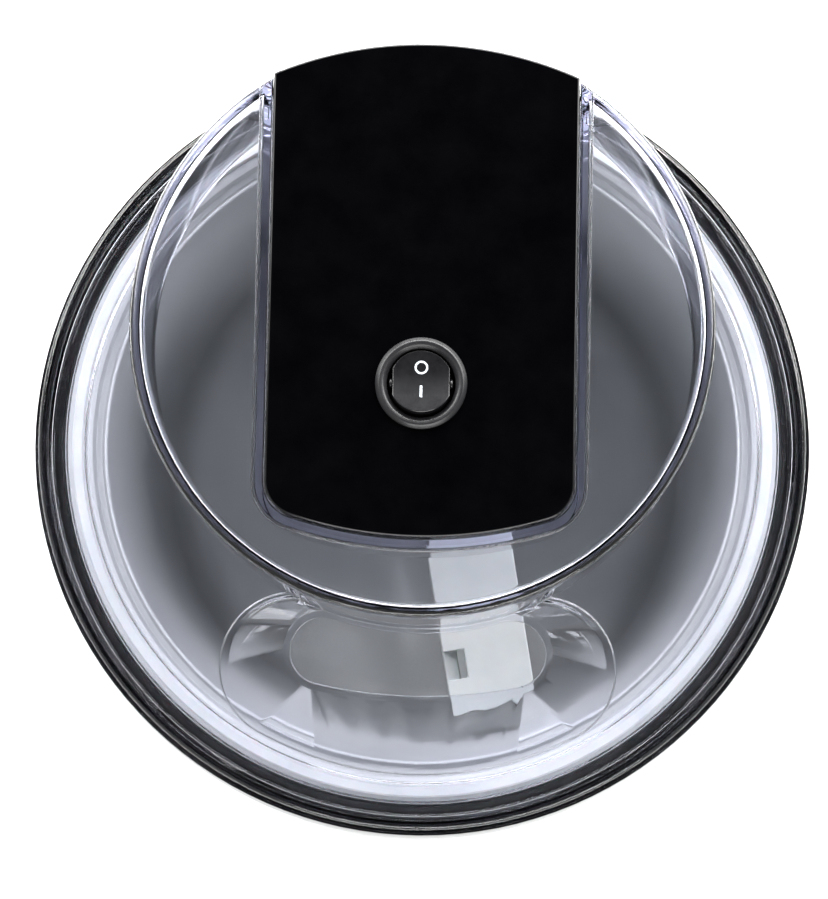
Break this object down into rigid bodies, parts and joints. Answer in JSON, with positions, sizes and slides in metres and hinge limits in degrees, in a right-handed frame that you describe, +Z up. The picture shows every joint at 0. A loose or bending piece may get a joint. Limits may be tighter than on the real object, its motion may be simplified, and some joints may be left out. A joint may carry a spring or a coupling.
{
  "type": "ice cream maker",
  "caption": "Round ice cream maker: black housing, lift-out aluminium freezer bowl, clear drum lid with a bean-shaped filling hole, and a black motor unit that turns a paddle.",
  "frame": {"origin": "centre of the ring of feet, on the surface that they stand on", "axes": "+Z up, -Y towards the filling hole at the front, +Y towards the motor unit's back and the cable entry"},
  "size_m": [0.214, 0.214, 0.2121],
  "materials": {
    "black_gloss": "polished black ABS",
    "black_satin": "moulded black ABS",
    "rubber": "soft moulded rubber",
    "zinc": "zinc-plated steel",
    "bowl_aluminium": "blasted and anodised aluminium",
    "coolant": "sealed refrigerant gel",
    "silicone": "translucent silicone",
    "clear_plastic": "clear SAN with a faint blue-violet edge",
    "bronze": "sintered bronze and brass",
    "copper": "copper winding",
    "gear_nylon": "natural nylon",
    "paddle_plastic": "satin light grey polypropylene",
    "wire_blue": "PVC wire insulation"
  },
  "bodies": {
    "base": {"housing": "black_gloss", "base_plate": "black_satin", "feet": "rubber", "base_screws": "zinc"},
    "bowl": {"bowl_liner": "bowl_aluminium", "bowl_shell": "bowl_aluminium", "bowl_coolant": "coolant", "bowl_gasket": "rubber", "bowl_fill_plug": "zinc"},
    "seal": {"rim_seal": "silicone"},
    "lid": {"lid": "clear_plastic"},
    "motor_unit": {"motor_cover": "black_gloss", "motor_chassis": "black_satin", "gear_plate": "zinc", "plate_screws": "zinc", "cover_screws": "zinc", "gear_axles": "zinc", "shaft_bush": "bronze", "motor_can": "zinc", "motor_end_cap": "black_satin", "motor_screws": "zinc", "switch_bezel": "black_gloss", "switch_body": "black_satin", "switch_terminals": "bronze", "cable_gland": "rubber", "cable_clamp": "gear_nylon", "clamp_screws": "zinc", "terminal_block": "gear_nylon", "inner_wires": "wire_blue"},
    "rotor": {"motor_rotor": "copper", "motor_pinion": "bronze"},
    "first_gear": {"first_gear": "gear_nylon"},
    "second_gear": {"second_gear": "gear_nylon"},
    "drive": {"output_gear": "gear_nylon", "drive_shaft": "zinc", "shaft_circlip": "zinc"},
    "paddle": {"paddle": "paddle_plastic"},
    "rocker": {"switch_rocker": "black_satin"}
  },
  "joints": [
    {"name": "bowl_lift", "type": "slide", "parent": "base", "child": "bowl", "axis": [0, 0, 1], "range_m": [0, 0.15]},
    {"name": "lid_lift", "type": "slide", "parent": "bowl", "child": "seal", "axis": [0, 0, 1], "range_m": [0, 0.13]},
    {"name": "lid_turn", "type": "hinge", "parent": "seal", "child": "lid", "pos_m": [0, 0, 0.15], "axis": [0, 0, 1], "range_deg": [0, 17]},
    {"name": "unit_lift", "type": "slide", "parent": "lid", "child": "motor_unit", "axis": [0, 0, 1], "range_m": [0, 0.08]},
    {"name": "paddle_spin", "type": "hinge", "parent": "bowl", "child": "paddle", "pos_m": [0, 0, 0.04], "axis": [0, 0, 1], "continuous": true},
    {"name": "drive_spin", "type": "hinge", "parent": "motor_unit", "child": "drive", "pos_m": [0, 0, 0.16], "axis": [0, 0, 1], "continuous": true},
    {"name": "second_gear_spin", "type": "hinge", "parent": "motor_unit", "child": "second_gear", "pos_m": [0, 0.02812, 0.165], "axis": [0, 0, 1], "continuous": true},
    {"name": "first_gear_spin", "type": "hinge", "parent": "motor_unit", "child": "first_gear", "pos_m": [0.012, 0.04526, 0.17], "axis": [0, 0, 1], "continuous": true},
    {"name": "motor_spin", "type": "hinge", "parent": "motor_unit", "child": "rotor", "pos_m": [0, 0.0591, 0.18], "axis": [0, 0, 1], "continuous": true},
    {"name": "rocker_tilt", "type": "hinge", "parent": "motor_unit", "child": "rocker", "pos_m": [0, 0.0098, 0.2084], "axis": [1, 0, 0], "range_deg": [0, 18]}
  ],
  "couplings": [
    {"joint": "drive_spin", "follows": "paddle_spin", "ratio": 1},
    {"joint": "second_gear_spin", "follows": "paddle_spin", "ratio": -3.6667},
    {"joint": "first_gear_spin", "follows": "paddle_spin", "ratio": 12.222},
    {"joint": "motor_spin", "follows": "paddle_spin", "ratio": -40.741}
  ]
}
